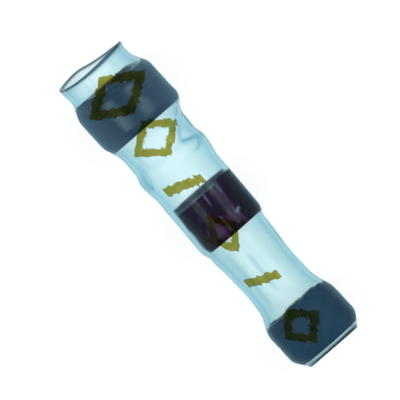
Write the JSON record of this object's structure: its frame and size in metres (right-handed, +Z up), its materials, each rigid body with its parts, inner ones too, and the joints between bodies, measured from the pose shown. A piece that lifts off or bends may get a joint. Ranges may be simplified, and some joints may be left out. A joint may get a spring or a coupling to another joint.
{
  "type": "solder seal wire connector",
  "caption": "Clear blue shrink film sleeve that holds two dark seal rings and a fluxed solder ring, for joining and sealing a stripped wire from each end.",
  "frame": {"origin": "centre of the solder ring, on the axis of its hole", "axes": "+X along the sleeve towards the narrow seal ring, +Z up as the sleeve lies on a bench"},
  "size_m": [0.0161, 0.004, 0.0039],
  "materials": {
    "film": "clear blue heat-shrink film",
    "seal_ring": "smooth fusible plastic, navy blue",
    "solder": "dull grey solder alloy",
    "flux": "glossy dark aubergine flux"
  },
  "bodies": {
    "root": {"sleeve": "film", "wide_seal_ring": "seal_ring", "narrow_seal_ring": "seal_ring", "solder_ring": "solder", "flux_coat": "flux"}
  },
  "joints": []
}
